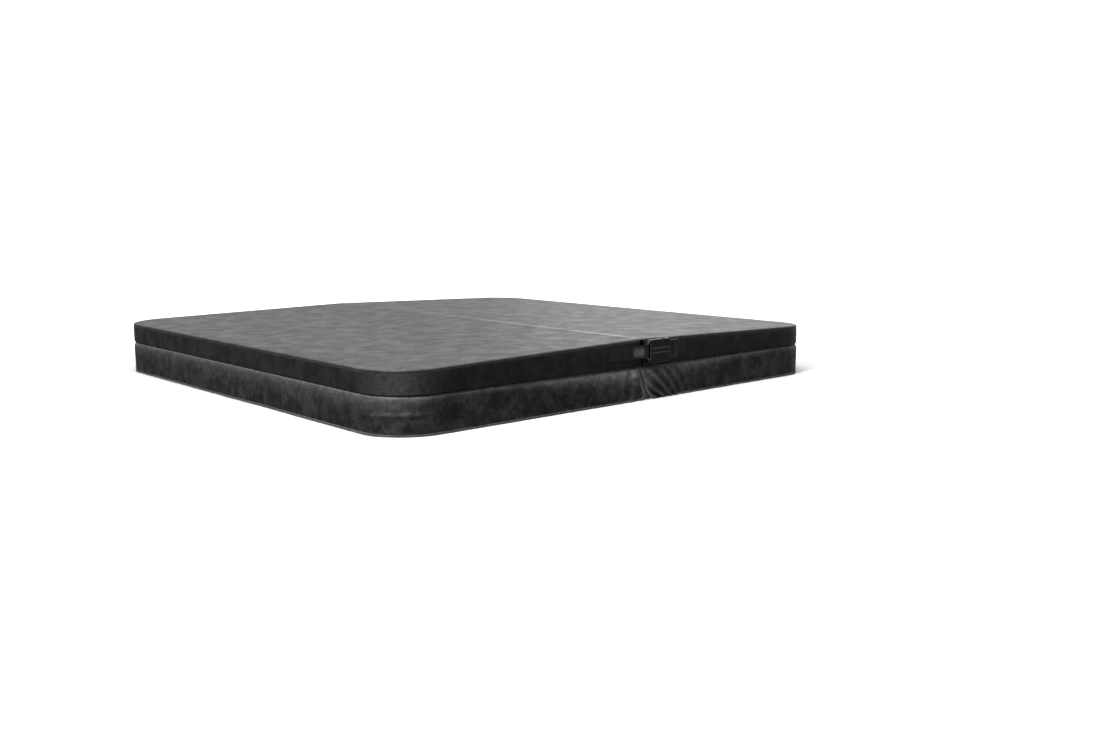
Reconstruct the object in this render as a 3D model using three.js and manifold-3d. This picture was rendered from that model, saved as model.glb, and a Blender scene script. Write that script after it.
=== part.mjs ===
// A folding spa cover: two tapered foam slabs in vinyl jackets, joined along a central fold.
// Millimetres, +Z up. The origin is the middle of the fold, on the plane that rests on the spa's lip.
// The fold runs along Y. The left half (-X) stays down and the right half (+X) folds over it.
// The skirts hang below the resting plane, outside the spa's rim.

import * as THREE from 'three';
import { mergeVertices } from 'three/addons/utils/BufferGeometryUtils.js';
import Module from 'manifold-3d';

const wasm = await Module();
wasm.setup();

// ---- Driving dimensions ----

const SIDE = 2134; // outside width and depth, 84 in
const CORNER_RADIUS = 172;
const FOLD_HEIGHT = 100; // top surface above the lip, at the fold
const EDGE_HEIGHT = 78; // the same, at the outer sides
const SKIRT_DROP = 127;
const FOLD_GAP = 15; // between the two halves' facing walls

const VINYL = 1.5; // jacket sheet
const LINER = 1.2; // underside sheet
const FILM = 0.4; // vapour film round the foam
const STEEL = 1.2; // channel stiffener
const GAP = 0.3; // clearance between neighbouring pieces
const EDGE_LIP = 10; // how far the top panel turns down over the edge

const HALF = SIDE / 2;
const FOLD_FACE = FOLD_GAP / 2;
const SLOPE = (FOLD_HEIGHT - EDGE_HEIGHT) / HALF;
const CORNER_SEGMENTS = 10;

// How deep each layer of the jacket lies below the outside face.
const FILM_DEPTH = VINYL + GAP;
const FOAM_DEPTH = FILM_DEPTH + FILM + GAP;
const FILM_FLOOR = LINER + GAP;
const FOAM_FLOOR = FILM_FLOOR + FILM + GAP;
const FILM_FOLD = FOLD_FACE + FILM_DEPTH;
const CHANNEL_FOLD = FILM_FOLD + FILM + GAP;
const REBATE = STEEL + GAP; // room that the channel needs in the foam

const CHANNEL_FLANGE = 40;
const LINER_INSET = 6; // keeps the resting face clear of the skirt
const VENT_RADIUS = 5; // opening at the tail of each film wrap

const FOLD_AXIS_Z = FOLD_HEIGHT + 3;
const HINGE_LEAF_WIDTH = 30;
const HINGE_LEAF_THICKNESS = 1.2;
const HINGE_LEAF_GAP = 0.5; // from each leaf's edge to the fold's plane

const SEAL_HEIGHT = 42;
const SEAL_END_INSET = 4;

const HEM_THICKNESS = 0.8;
const HEM_HEIGHT = 10;

const GROMMET = { outer: 11, inner: 6, x: 70, y: 700 };

const ZIPPER = {
  tape: 22, tapeThickness: 0.5, neck: 2.4, neckDepth: 1.3, teeth: 5.6, teethDepth: 1.8,
  endInset: 27, leftZ: 78, rightZ: 58,
};
const SLIDER = { length: 16, height: 10, lip: 0.7, plate: 1, earLength: 4, earHeight: 1, parkInset: 40 };
const PULL = { length: 20, thickness: 1, pinRadius: 0.8, barrelRadius: 2, clearance: 0.3, pinX: 0.1 };

// Straps across the fold. An offset is measured outwards from the side band's face.
const WEB = { width: 50, thickness: 1.8, centreZ: 52 };
const PATCH = { offset: 0.3, thickness: 2, left: [-165, -101.5], right: [200, 242] };
const STRAP_HINGE_X = -100.5;
const STRAP_OFFSET = 3.6; // centre of the webbing's thickness
const HOUSING = {
  x0: 12, x1: 137, height: 86, offset: 1, thickness: 18, wall: 3, rail: 6,
  noseRadius: 24, mouthRadius: 7, barWidth: 9, barOffset: 5.4, barThickness: 8, slotWidth: 9,
  window: [88, 114], ribHeight: 1.4, ribWidth: 5, ribSpread: 17, ribInset: 8,
};
const TONGUE = {
  offset: 6.5, thickness: 7, baseX: [139, 187], baseHeight: 70, baseChamfer: 5,
  slots: [[149, 156], [166, 173]],
  armTop: 28, armHeight: 7, headX: 108, headSlope: 2, tipX: 85, tipChamfer: [9, 7], rootChamfer: 3,
  bladeTipX: 92, bladeHeight: 12, bladeChamfer: [5, 4],
};
const TONGUE_TAIL = { start: 4, bend: 170, endInset: 12 }; // the webbing between the tongue and its patch
const SEWN_BACK = [[-14, 9], [-32, 5.9], [-52, 5.8]]; // the strap's tail as it lies down on the strap

const COLOURS = {
  topVinyl: 0x343434, sideVinyl: 0x1b1b1b, skirtVinyl: 0x2e2e2e, liner: 0x2a2b2d, foam: 0xe9e9e4,
  film: 0xc9d2d6, steel: 0xa9adb0, seal: 0x232325, hem: 0x7a7a7a, webbing: 0x151517,
  plastic: 0x111113, zipper: 0x18181a, slider: 0x6b6a66, brass: 0xa98d55,
};

// ---- Solids ----

function toSolid(geometry) {
  const bare = geometry.clone();
  bare.deleteAttribute('normal');
  bare.deleteAttribute('uv');
  const merged = mergeVertices(bare, 1e-4);
  return new wasm.Manifold(new wasm.Mesh({
    numProp: 3,
    vertProperties: Float32Array.from(merged.attributes.position.array),
    triVerts: Uint32Array.from(merged.index.array),
  }));
}

function toGeometry(solid) {
  const mesh = solid.getMesh();
  const geometry = new THREE.BufferGeometry();
  geometry.setAttribute('position', new THREE.BufferAttribute(mesh.vertProperties, 3));
  geometry.setIndex(new THREE.BufferAttribute(mesh.triVerts, 1));
  geometry.computeVertexNormals();
  return geometry;
}

const group = new THREE.Group();

function addPiece(name, shape, colour, roughness = 0.7, metalness = 0) {
  const geometry = shape.isBufferGeometry ? shape : toGeometry(shape);
  const material = new THREE.MeshStandardMaterial({ color: colour, roughness, metalness });
  const mesh = new THREE.Mesh(geometry, material);
  mesh.name = name;
  group.add(mesh);
}

function outline(points) {
  return new THREE.Shape(points.map(([u, v]) => new THREE.Vector2(u, v)));
}

// A shape drawn in X and Y, standing from z0 to z1.
function standing(shape, z0, z1, curveSegments = CORNER_SEGMENTS) {
  const geometry = new THREE.ExtrudeGeometry(shape, { depth: z1 - z0, bevelEnabled: false, curveSegments });
  return geometry.translate(0, 0, z0);
}

// A shape drawn in X and Z, running from y0 to y1.
function running(shape, y0, y1, curveSegments = CORNER_SEGMENTS) {
  const geometry = new THREE.ExtrudeGeometry(shape, { depth: y1 - y0, bevelEnabled: false, curveSegments });
  return geometry.rotateX(Math.PI / 2).translate(0, y1, 0);
}

function box(x0, x1, y0, y1, z0, z1) {
  const geometry = new THREE.BoxGeometry(x1 - x0, y1 - y0, z1 - z0);
  return geometry.translate((x0 + x1) / 2, (y0 + y1) / 2, (z0 + z1) / 2);
}

function mirrored(points, side) {
  return points.map(([u, v]) => [side * u, v]);
}

// ---- The two halves: side is -1 for the left half and +1 for the right ----

function topZ(x) {
  return FOLD_HEIGHT - SLOPE * Math.abs(x);
}

// Plan of a half, drawn in from its outer faces by inset, with its inner edge at foldX.
function planOf(side, inset, foldX) {
  const edge = HALF - inset;
  const radius = CORNER_RADIUS - inset;
  const path = new THREE.Shape();
  path.moveTo(foldX, -edge);
  path.lineTo(edge - radius, -edge);
  path.absarc(edge - radius, -edge + radius, radius, -Math.PI / 2, 0, false);
  path.absarc(edge - radius, edge - radius, radius, 0, Math.PI / 2, false);
  path.lineTo(foldX, edge);
  const points = path.getPoints(CORNER_SEGMENTS).map((p) => [side * p.x, p.y]);
  return outline(points);
}

// What lies inside both a plan and a profile drawn in X and Z.
function block(side, inset, foldX, profile) {
  const plan = toSolid(standing(planOf(side, inset, foldX), -SIDE, SIDE));
  return plan.intersect(toSolid(running(outline(mirrored(profile, side)), -SIDE, SIDE)));
}

// Profile between a flat floor and the sloping top, a depth below it.
function slab(foldX, floor, depth) {
  return [[foldX, floor], [SIDE, floor], [SIDE, topZ(SIDE) - depth], [foldX, topZ(foldX) - depth]];
}

function foamCore(side) {
  const start = CHANNEL_FOLD + REBATE;
  const step = CHANNEL_FOLD + CHANNEL_FLANGE + GAP;
  return block(side, FOAM_DEPTH, start, [
    [start, FOAM_FLOOR + REBATE], [step, FOAM_FLOOR + REBATE], [step, FOAM_FLOOR], [SIDE, FOAM_FLOOR],
    [SIDE, topZ(SIDE) - FOAM_DEPTH], [step, topZ(step) - FOAM_DEPTH],
    [step, topZ(step) - FOAM_DEPTH - REBATE], [start, topZ(start) - FOAM_DEPTH - REBATE],
  ]);
}

function channel(side) {
  const x0 = CHANNEL_FOLD;
  const x1 = x0 + STEEL;
  const x2 = x0 + CHANNEL_FLANGE;
  const profile = [
    [x0, FOAM_FLOOR], [x2, FOAM_FLOOR], [x2, FOAM_FLOOR + STEEL], [x1, FOAM_FLOOR + STEEL],
    [x1, topZ(x1) - FOAM_DEPTH - STEEL], [x2, topZ(x2) - FOAM_DEPTH - STEEL],
    [x2, topZ(x2) - FOAM_DEPTH], [x0, topZ(x0) - FOAM_DEPTH],
  ];
  return running(outline(mirrored(profile, side)), -HALF + FOAM_DEPTH, HALF - FOAM_DEPTH);
}

function vapourFilm(side) {
  const outside = block(side, FILM_DEPTH, FILM_FOLD, slab(FILM_FOLD, FILM_FLOOR, FILM_DEPTH));
  const depth = FILM_DEPTH + FILM;
  const inside = block(side, depth, FILM_FOLD + FILM, slab(FILM_FOLD + FILM, FILM_FLOOR + FILM, depth));
  const vent = new THREE.CylinderGeometry(VENT_RADIUS, VENT_RADIUS, 4 * FILM, 16);
  vent.rotateX(Math.PI / 2).translate(side * GROMMET.x, 0, FILM_FLOOR + FILM / 2);
  return outside.subtract(inside).subtract(toSolid(vent));
}

function topPanel(side) {
  const outside = block(side, 0, FOLD_FACE, [
    [FOLD_FACE, topZ(FOLD_FACE) - EDGE_LIP], [SIDE, topZ(SIDE) - EDGE_LIP],
    [SIDE, topZ(SIDE)], [FOLD_FACE, topZ(FOLD_FACE)],
  ]);
  return outside.subtract(block(side, VINYL, 0, slab(0, -EDGE_LIP, VINYL)));
}

function sideBand(side) {
  const outside = block(side, 0, FOLD_FACE, slab(FOLD_FACE, 0, EDGE_LIP + GAP));
  return outside.subtract(block(side, VINYL, 0, slab(0, -EDGE_LIP, 0)));
}

function foldWall(side) {
  const x0 = FOLD_FACE;
  const x1 = FOLD_FACE + VINYL;
  const top = (x) => topZ(x) - FILM_DEPTH;
  const profile = [[x0, FILM_FLOOR], [x1, FILM_FLOOR], [x1, top(x1)], [x0, top(x0)]];
  return running(outline(mirrored(profile, side)), -HALF + FILM_DEPTH, HALF - FILM_DEPTH);
}

function grommetGeometry(side, end) {
  const bevel = 0.25;
  const { outer, inner } = GROMMET;
  const profile = [
    [inner, bevel], [inner + bevel, 0], [outer - bevel, 0], [outer, bevel],
    [outer, LINER - bevel], [outer - bevel, LINER], [inner + bevel, LINER], [inner, LINER - bevel],
  ];
  const ring = [...profile, profile[0]].map(([u, v]) => new THREE.Vector2(u, v));
  const geometry = new THREE.LatheGeometry(ring, 24);
  return geometry.rotateX(Math.PI / 2).translate(side * GROMMET.x, end * GROMMET.y, 0);
}

function undersideLiner(side) {
  let sheet = toSolid(standing(planOf(side, LINER_INSET, FOLD_FACE), 0, LINER));
  for (const end of [-1, 1]) {
    const hole = new THREE.CylinderGeometry(GROMMET.outer + GAP, GROMMET.outer + GAP, 4 * LINER, 24);
    hole.rotateX(Math.PI / 2).translate(side * GROMMET.x, end * GROMMET.y, 0);
    sheet = sheet.subtract(toSolid(hole));
  }
  return sheet;
}

// Where each skirt ends beside the fold, from its top down. The slit between them leans to the right.
const SKIRT_ENDS = {
  '-1': [[-9, 1], [-9, 0], [4, -50], [27, -130], [27, -140]],
  '1': [[-5, 1], [-5, 0], [9, -58], [36, -102], [58, -123], [74, -128], [74, -140]],
};
const SLIT_REACH = 80; // how far past the fold's plane either skirt may be drawn before its end is cut

function skirtRegion(side) {
  const end = SKIRT_ENDS[side];
  const top = end[0][1];
  const bottom = end[end.length - 1][1];
  return toSolid(running(outline([...end, [side * SIDE, bottom], [side * SIDE, top]]), -SIDE, SIDE));
}

function ring(side, outerInset, innerInset, z0, z1) {
  const outer = toSolid(standing(planOf(side, outerInset, -SLIT_REACH), z0, z1));
  return outer.subtract(toSolid(standing(planOf(side, innerInset, -2 * SLIT_REACH), z0 - 1, z1 + 1)));
}

function skirt(side) {
  return ring(side, 0, VINYL, -SKIRT_DROP, -GAP).intersect(skirtRegion(side));
}

function skirtHem(side) {
  const outer = -GAP - HEM_THICKNESS;
  const inner = VINYL + GAP + HEM_THICKNESS;
  const bottom = -SKIRT_DROP - GAP - HEM_THICKNESS;
  const tape = ring(side, outer, inner, bottom, bottom + HEM_HEIGHT);
  const slot = ring(side, -GAP, VINYL + GAP, -SKIRT_DROP - GAP, 0);
  return tape.subtract(slot).intersect(skirtRegion(side));
}

function hingeLeaf(side) {
  const x0 = HINGE_LEAF_GAP;
  const x1 = HINGE_LEAF_WIDTH;
  const lift = GAP + HINGE_LEAF_THICKNESS;
  const profile = [[x0, topZ(x0) + GAP], [x1, topZ(x1) + GAP], [x1, topZ(x1) + lift], [x0, topZ(x0) + lift]];
  return running(outline(mirrored(profile, side)), -HALF + VINYL, HALF - VINYL);
}

// ---- Zippers, on the facing walls of the fold ----

function zipperZ(side) {
  return side < 0 ? ZIPPER.leftZ : ZIPPER.rightZ;
}

// Distances from the fold's plane to each step of the zipper, measured back towards its wall.
const TAPE_BACK = FOLD_FACE - GAP;
const TAPE_FRONT = TAPE_BACK - ZIPPER.tapeThickness;
const TEETH_BACK = TAPE_FRONT - ZIPPER.neckDepth;
const TEETH_FRONT = TEETH_BACK - ZIPPER.teethDepth;
const SLIDER_BACK = TAPE_FRONT - GAP;
const SLIDER_FRONT = TEETH_FRONT - GAP - SLIDER.plate;

function zipperChain(side) {
  const z = zipperZ(side);
  const tape = ZIPPER.tape / 2;
  const neck = ZIPPER.neck / 2;
  const teeth = ZIPPER.teeth / 2;
  const half = [
    [TAPE_BACK, tape], [TAPE_FRONT, tape], [TAPE_FRONT, neck], [TEETH_BACK, neck], [TEETH_BACK, teeth],
    [TEETH_FRONT, teeth],
  ];
  const whole = [...half, ...half.map(([x, v]) => [x, -v]).reverse()];
  const profile = whole.map(([x, v]) => [side * x, z + v]);
  return running(outline(profile), -HALF + ZIPPER.endInset, HALF - ZIPPER.endInset);
}

// The left slider parks at the front and the right one at the rear.
function sliderY(side) {
  return side * (HALF - SLIDER.parkInset);
}

function pinY(side) {
  return sliderY(side) - side * (SLIDER.length / 2 - SLIDER.earLength);
}

function zipperSlider(side) {
  const z = zipperZ(side);
  const y = sliderY(side);
  const grip = ZIPPER.teeth / 2 + GAP;
  const slit = ZIPPER.neck / 2 + GAP;
  const y0 = y - SLIDER.length / 2;
  const y1 = y + SLIDER.length / 2;
  const top = SLIDER.height / 2;
  const tunnelBack = SLIDER_BACK - SLIDER.lip;
  const half = [
    [SLIDER_BACK, slit], [tunnelBack, slit], [tunnelBack, grip], [TEETH_FRONT - GAP, grip],
  ];
  const inner = [...half, ...half.map(([x, v]) => [x, -v]).reverse()];
  const outer = [[SLIDER_BACK, -top], [SLIDER_FRONT, -top], [SLIDER_FRONT, top], [SLIDER_BACK, top]];
  const profile = [...inner, ...outer].map(([x, v]) => [side * x, z + v]);
  let body = toSolid(running(outline(profile), y0, y1));
  const pinX = -side * PULL.pinX;
  const reach = side * SLIDER_FRONT + side * 0.1;
  const earTip = -side * (PULL.pinX + PULL.pinRadius + GAP);
  const [earX0, earX1] = [Math.min(reach, earTip), Math.max(reach, earTip)];
  for (const end of [-1, 1]) {
    const [z0, z1] = end < 0 ? [z - top, z - top + SLIDER.earHeight] : [z + top - SLIDER.earHeight, z + top];
    const half = SLIDER.earLength / 2;
    body = body.add(toSolid(box(earX0, earX1, pinY(side) - half, pinY(side) + half, z0, z1)));
  }
  const pinLength = SLIDER.height - SLIDER.earHeight;
  const pin = new THREE.CylinderGeometry(PULL.pinRadius, PULL.pinRadius, pinLength, 12);
  return body.add(toSolid(pin.rotateX(Math.PI / 2).translate(pinX, pinY(side), z)));
}

function pullTab(side) {
  const z = zipperZ(side);
  const half = SLIDER.height / 2 - SLIDER.earHeight - GAP;
  const y = pinY(side);
  const x = -side * PULL.pinX;
  const barrel = new THREE.Shape();
  barrel.absarc(x, y, PULL.barrelRadius, 0, 2 * Math.PI, false);
  const [y0, y1] = [y, y + side * PULL.length].sort((a, b) => a - b);
  const plate = box(x - PULL.thickness / 2, x + PULL.thickness / 2, y0, y1, z - half, z + half);
  const bore = new THREE.CylinderGeometry(
    PULL.pinRadius + PULL.clearance, PULL.pinRadius + PULL.clearance, 2 * SLIDER.height, 16,
  );
  bore.rotateX(Math.PI / 2).translate(x, y, z);
  const round = toSolid(standing(barrel, z - half, z + half, 8));
  return round.add(toSolid(plate)).subtract(toSolid(bore));
}

// ---- Heat seal in the fold ----

function heatSeal() {
  const left = -FOLD_FACE + GAP;
  const right = FOLD_FACE - 2 * GAP;
  const shoulder = SEAL_HEIGHT - (right - left) / 2;
  const profile = new THREE.Shape();
  profile.moveTo(left, 0);
  profile.lineTo(right, 0);
  profile.absarc((left + right) / 2, shoulder, (right - left) / 2, 0, Math.PI, false);
  profile.closePath();
  return running(profile, -HALF + SEAL_END_INSET, HALF - SEAL_END_INSET, 6);
}

// ---- Straps and buckles: end is -1 at the front of the fold and +1 at the rear ----

function offsetRange(end, near, far) {
  const pair = [end * (HALF + near), end * (HALF + far)];
  return pair.sort((a, b) => a - b);
}

function anchorPatch(end, [x0, x1]) {
  const [y0, y1] = offsetRange(end, PATCH.offset, PATCH.offset + PATCH.thickness);
  return box(x0, x1, y0, y1, WEB.centreZ - WEB.width / 2, WEB.centreZ + WEB.width / 2);
}

// A strip of webbing of constant thickness that follows points given as (x, offset).
function webbing(end, points) {
  const knots = points.map(([x, offset]) => new THREE.Vector3(x, offset, 0));
  const path = new THREE.CatmullRomCurve3(knots, false, 'centripetal');
  const half = WEB.thickness / 2;
  const count = 4 * points.length;
  const sides = [[], []];
  for (let i = 0; i <= count; i += 1) {
    const p = path.getPoint(i / count);
    const t = path.getTangent(i / count);
    sides[0].push([p.x - t.y * half, end * (HALF + p.y + t.x * half)]);
    sides[1].unshift([p.x + t.y * half, end * (HALF + p.y - t.x * half)]);
  }
  const z0 = WEB.centreZ - WEB.width / 2;
  return standing(outline([...sides[0], ...sides[1]]), z0, z0 + WEB.width);
}

// The strap's webbing wraps the housing's nose bar and is sewn back onto itself.
function strapWebbing(end) {
  const bar = { left: HOUSING.x0, right: HOUSING.x0 + HOUSING.barWidth };
  const under = STRAP_OFFSET;
  const over = HOUSING.barOffset + HOUSING.barThickness + GAP + WEB.thickness / 2;
  const turn = bar.right + 2 * WEB.thickness;
  return webbing(end, [
    [STRAP_HINGE_X, under], [-40, under], [bar.left, under], [bar.right + 1, under], [turn, under + 3],
    [turn, over - 3], [bar.right + 1, over], [bar.left - 2, over], ...SEWN_BACK,
  ]);
}

// The buckle's short tail runs from under the tongue's base onto its anchor patch.
function tongueWebbing(end) {
  const level = PATCH.offset + PATCH.thickness + GAP + WEB.thickness / 2;
  const { start, bend, endInset } = TONGUE_TAIL;
  return webbing(end, [[TONGUE.baseX[0] + start, level], [bend, level], [PATCH.right[1] - endInset, level]]);
}

function roundedOutline(x0, x1, z0, z1, leftRadius, rightRadius) {
  const path = new THREE.Shape();
  path.moveTo(x0 + leftRadius, z0);
  path.absarc(x1 - rightRadius, z0 + rightRadius, rightRadius, -Math.PI / 2, 0, false);
  path.absarc(x1 - rightRadius, z1 - rightRadius, rightRadius, 0, Math.PI / 2, false);
  path.absarc(x0 + leftRadius, z1 - leftRadius, leftRadius, Math.PI / 2, Math.PI, false);
  path.absarc(x0 + leftRadius, z0 + leftRadius, leftRadius, Math.PI, 1.5 * Math.PI, false);
  return path;
}

function buckleHousing(end) {
  const h = HOUSING;
  const z0 = WEB.centreZ - h.height / 2;
  const z1 = z0 + h.height;
  const far = h.offset + h.thickness;
  const at = (near, away) => offsetRange(end, near, away);
  const shell = roundedOutline(h.x0, h.x1, z0, z1, h.noseRadius, h.mouthRadius);
  let body = toSolid(running(shell, ...at(h.offset, far), 6));
  const slotX = h.x0 + h.barWidth;
  const cavityX = slotX + h.slotWidth + h.wall;
  const web = [WEB.centreZ - WEB.width / 2 - 1, WEB.centreZ + WEB.width / 2 + 1];
  const inside = at(h.offset + h.wall, far - h.wall);
  const cuts = [
    // the space for the tongue, open at the mouth
    box(cavityX, h.x1 + 1, ...inside, z0 + h.rail, z1 - h.rail),
    // the slot that the webbing passes through, and room behind and before its bar
    box(slotX, slotX + h.slotWidth, ...at(h.offset - 1, far + 1), ...web),
    box(h.x0 - 1, slotX + 1, ...at(h.offset - 1, h.barOffset), ...web),
    box(h.x0 - 1, slotX + 1, ...at(h.barOffset + h.barThickness, far + 1), ...web),
    // the side windows over the tongue's release heads
    box(...h.window, ...inside, z0 - 1, z1 + 1),
  ];
  for (const cut of cuts) {
    body = body.subtract(toSolid(cut));
  }
  const ribX = [cavityX + h.ribInset, h.x1 - h.ribInset];
  for (const lift of [-0.5, 0.5]) {
    const z = WEB.centreZ + lift * h.ribSpread;
    const rib = box(...ribX, ...at(far - 0.2, far + h.ribHeight), z - h.ribWidth / 2, z + h.ribWidth / 2);
    body = body.add(toSolid(rib));
  }
  return body;
}

function buckleTongue(end) {
  const t = TONGUE;
  const top = t.baseHeight / 2;
  const armFoot = t.armTop - t.armHeight;
  const [outer, inner] = [t.baseX[1], t.baseX[0]];
  const [tipLength, tipDrop] = t.tipChamfer;
  const [bladeLength, bladeDrop] = t.bladeChamfer;
  const blade = t.bladeHeight / 2;
  // Upper half of the outline, from the base's outer end to the tip of the centre blade.
  const upper = [
    [outer, top - t.baseChamfer], [outer - t.baseChamfer, top], [inner, top], [inner, t.armTop],
    [t.headX + t.headSlope, t.armTop], [t.headX, top], [t.tipX + tipLength, top], [t.tipX, top - tipDrop],
    [t.tipX, armFoot], [inner - t.rootChamfer, armFoot], [inner, armFoot - t.rootChamfer], [inner, blade],
    [t.bladeTipX + bladeLength, blade], [t.bladeTipX, blade - bladeDrop],
  ];
  const lower = upper.map(([x, z]) => [x, -z]).reverse();
  const shape = outline([...upper, ...lower].map(([x, z]) => [x, WEB.centreZ + z]));
  let body = toSolid(running(shape, ...offsetRange(end, t.offset, t.offset + t.thickness)));
  const slotHalf = WEB.width / 2 + 1;
  const through = offsetRange(end, 0, HOUSING.thickness);
  for (const [x0, x1] of t.slots) {
    const slot = box(x0, x1, ...through, WEB.centreZ - slotHalf, WEB.centreZ + slotHalf);
    body = body.subtract(toSolid(slot));
  }
  return body;
}

// ---- Assembly ----

for (const [name, side] of [['left', -1], ['right', 1]]) {
  addPiece(`${name}_foam_core`, foamCore(side), COLOURS.foam, 0.9);
  addPiece(`${name}_channel`, channel(side), COLOURS.steel, 0.4, 0.9);
  addPiece(`${name}_vapour_film`, vapourFilm(side), COLOURS.film, 0.3);
  addPiece(`${name}_top_panel`, topPanel(side), COLOURS.topVinyl, 0.55);
  addPiece(`${name}_side_band`, sideBand(side), COLOURS.sideVinyl, 0.6);
  addPiece(`${name}_fold_wall`, foldWall(side), COLOURS.sideVinyl, 0.6);
  addPiece(`${name}_underside_liner`, undersideLiner(side), COLOURS.liner, 0.8);
  addPiece(`${name}_skirt`, skirt(side), COLOURS.skirtVinyl, 0.55);
  addPiece(`${name}_skirt_hem`, skirtHem(side), COLOURS.hem, 0.6);
  addPiece(`${name}_hinge_leaf`, hingeLeaf(side), COLOURS.topVinyl, 0.55);
  addPiece(`${name}_zipper_chain`, zipperChain(side), COLOURS.zipper, 0.6);
  addPiece(`${name}_zipper_slider`, zipperSlider(side), COLOURS.slider, 0.4, 0.8);
  addPiece(`${name}_zipper_pull`, pullTab(side), COLOURS.slider, 0.4, 0.8);
  addPiece(`${name}_drain_grommet_front`, grommetGeometry(side, -1), COLOURS.brass, 0.35, 0.9);
  addPiece(`${name}_drain_grommet_rear`, grommetGeometry(side, 1), COLOURS.brass, 0.35, 0.9);
}

addPiece('fold_heat_seal', heatSeal(), COLOURS.seal, 0.7);

for (const [name, end] of [['front', -1], ['rear', 1]]) {
  addPiece(`${name}_anchor_patch_left`, anchorPatch(end, PATCH.left), COLOURS.webbing, 0.9);
  addPiece(`${name}_anchor_patch_right`, anchorPatch(end, PATCH.right), COLOURS.webbing, 0.9);
  addPiece(`${name}_strap_webbing`, strapWebbing(end), COLOURS.webbing, 0.9);
  addPiece(`${name}_buckle_housing`, buckleHousing(end), COLOURS.plastic, 0.45);
  addPiece(`${name}_buckle_tongue`, buckleTongue(end), COLOURS.plastic, 0.45);
  addPiece(`${name}_tongue_webbing`, tongueWebbing(end), COLOURS.webbing, 0.9);
}

export default group;
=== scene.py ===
"""Looks for a folding spa cover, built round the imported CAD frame. Metres, +Z up, the frame's own axes."""

import itertools
import math

import bmesh
import bpy
import numpy as np
from mathutils import Matrix, Vector


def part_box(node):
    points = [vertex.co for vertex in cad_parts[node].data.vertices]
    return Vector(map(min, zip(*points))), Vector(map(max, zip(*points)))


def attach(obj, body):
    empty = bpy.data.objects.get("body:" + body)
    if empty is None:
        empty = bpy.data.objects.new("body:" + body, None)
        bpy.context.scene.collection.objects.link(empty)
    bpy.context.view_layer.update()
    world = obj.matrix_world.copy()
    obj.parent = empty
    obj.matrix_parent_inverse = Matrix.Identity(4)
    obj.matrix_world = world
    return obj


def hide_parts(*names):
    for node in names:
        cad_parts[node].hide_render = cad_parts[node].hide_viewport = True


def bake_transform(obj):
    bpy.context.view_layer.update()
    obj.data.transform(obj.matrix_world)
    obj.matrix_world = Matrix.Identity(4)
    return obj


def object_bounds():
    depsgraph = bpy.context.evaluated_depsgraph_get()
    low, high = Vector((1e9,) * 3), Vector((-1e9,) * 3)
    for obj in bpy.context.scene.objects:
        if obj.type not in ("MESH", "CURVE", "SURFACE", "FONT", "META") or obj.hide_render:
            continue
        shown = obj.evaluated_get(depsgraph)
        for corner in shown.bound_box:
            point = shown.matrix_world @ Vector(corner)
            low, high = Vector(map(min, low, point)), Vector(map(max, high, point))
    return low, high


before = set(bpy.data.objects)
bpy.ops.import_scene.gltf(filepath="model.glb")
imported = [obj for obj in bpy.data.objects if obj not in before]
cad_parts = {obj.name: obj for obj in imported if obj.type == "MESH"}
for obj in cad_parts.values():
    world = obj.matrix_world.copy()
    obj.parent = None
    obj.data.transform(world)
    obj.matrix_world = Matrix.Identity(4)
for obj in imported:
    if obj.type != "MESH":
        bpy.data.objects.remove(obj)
cad_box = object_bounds()

MM = 0.001

# ---- Sizes that the frame gives ----

SIDES = {"left": -1, "right": 1}
ENDS = {"front": -1, "rear": 1}
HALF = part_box("left_side_band")[1].y  # from the middle to the outer face
FOLD_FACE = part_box("right_fold_wall")[0].x  # from the fold's plane to either facing wall
FOLD_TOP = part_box("left_top_panel")[1].z
SKIRT_FOOT = -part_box("left_skirt")[0].z
SEAL_LOW, SEAL_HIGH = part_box("fold_heat_seal")
HINGE_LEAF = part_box("right_hinge_leaf")[1].x

# ---- Sizes of the soft pieces ----

CORNER = 172 * MM
EDGE_TOP = 78 * MM
EDGE_ROLL = 5 * MM  # radius of the top's rolled edge, small enough to clear the film under it
LIP = 6 * MM  # straight part of the top panel below the roll
SHEET = 1.5 * MM
SEAM_INSET = 10 * MM  # how far inside the band the skirt is sewn on
STEP = 8 * MM  # spacing of the points along a soft piece
SKIRT_SHARES = np.linspace(0, 1, 30)
SKIRT_DEPTHS = SKIRT_FOOT * SKIRT_SHARES**1.15  # the skirt's rows, closer together near its seam
SETTLE_STEPS = 25
SETTLE_CAP = 7 * MM  # the furthest that the cloth simulation may move a point of a skirt
THREAD_WIDTH = 0.9 * MM
VOXEL = 0.9 * MM  # for softening the moulded parts' edges
TOOTH_PITCH = 3 * MM
EYELET_BORE = 6 * MM  # radius


# ---- Noise ----

def lattice(cell, seed):
    """A fixed random number in -1..1 for each whole-number cell (n, 3)."""
    h = cell[:, 0] * 73856093 ^ cell[:, 1] * 19349663 ^ cell[:, 2] * 83492791 ^ (seed * 2654435761)
    h = (h ^ (h >> 13)) & 0xFFFFFFFF
    h = (h * 1274126177) & 0xFFFFFFFF
    h = (h ^ (h >> 16)) & 0xFFFF
    return h / 32767.5 - 1


def noise(points, scale, seed):
    """Smooth noise in -1..1 at points (..., 3), with features about scale metres wide."""
    points = np.asarray(points, float)
    q = points.reshape(-1, 3) / scale + 31.7
    cell = np.floor(q).astype(np.int64)
    f = q - cell
    f = f * f * (3 - 2 * f)
    total = np.zeros(len(q))
    for corner in itertools.product((0, 1), repeat=3):
        c = np.array(corner)
        total += np.prod(np.where(c == 1, f, 1 - f), axis=1) * lattice(cell + c, seed)
    return total.reshape(points.shape[:-1])


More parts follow.
